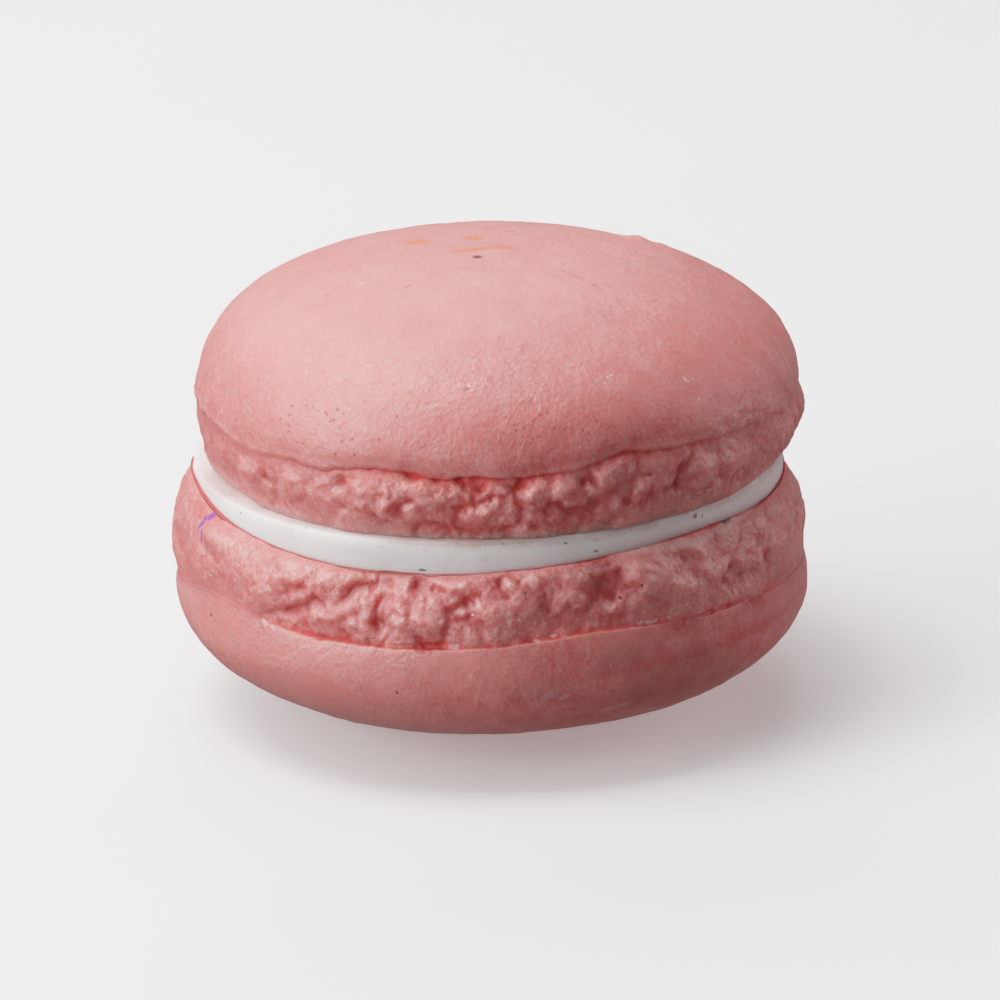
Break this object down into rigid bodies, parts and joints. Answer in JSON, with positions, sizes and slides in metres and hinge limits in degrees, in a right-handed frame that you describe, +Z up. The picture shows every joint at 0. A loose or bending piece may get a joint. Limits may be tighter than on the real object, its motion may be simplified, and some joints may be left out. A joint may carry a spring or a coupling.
{
  "type": "french macaron",
  "caption": "Round pink almond biscuit sandwich: a domed shell and a bowl-shaped shell with craggy feet round a smooth white filling.",
  "frame": {"origin": "middle of the flat spot under the macaron, level with what it stands on", "axes": "+Z up through the two shells, -Y towards the front, +X to the right"},
  "size_m": [0.0424, 0.0424, 0.0303],
  "materials": {
    "shell": "waxy pink almond shell, smooth with a fine grain on the dome and bowl, rough and crumbly on the feet",
    "filling": "smooth off-white cream with a soft sheen"
  },
  "bodies": {
    "root": {"lower_shell": "shell", "filling": "filling", "upper_shell": "shell"}
  },
  "joints": []
}
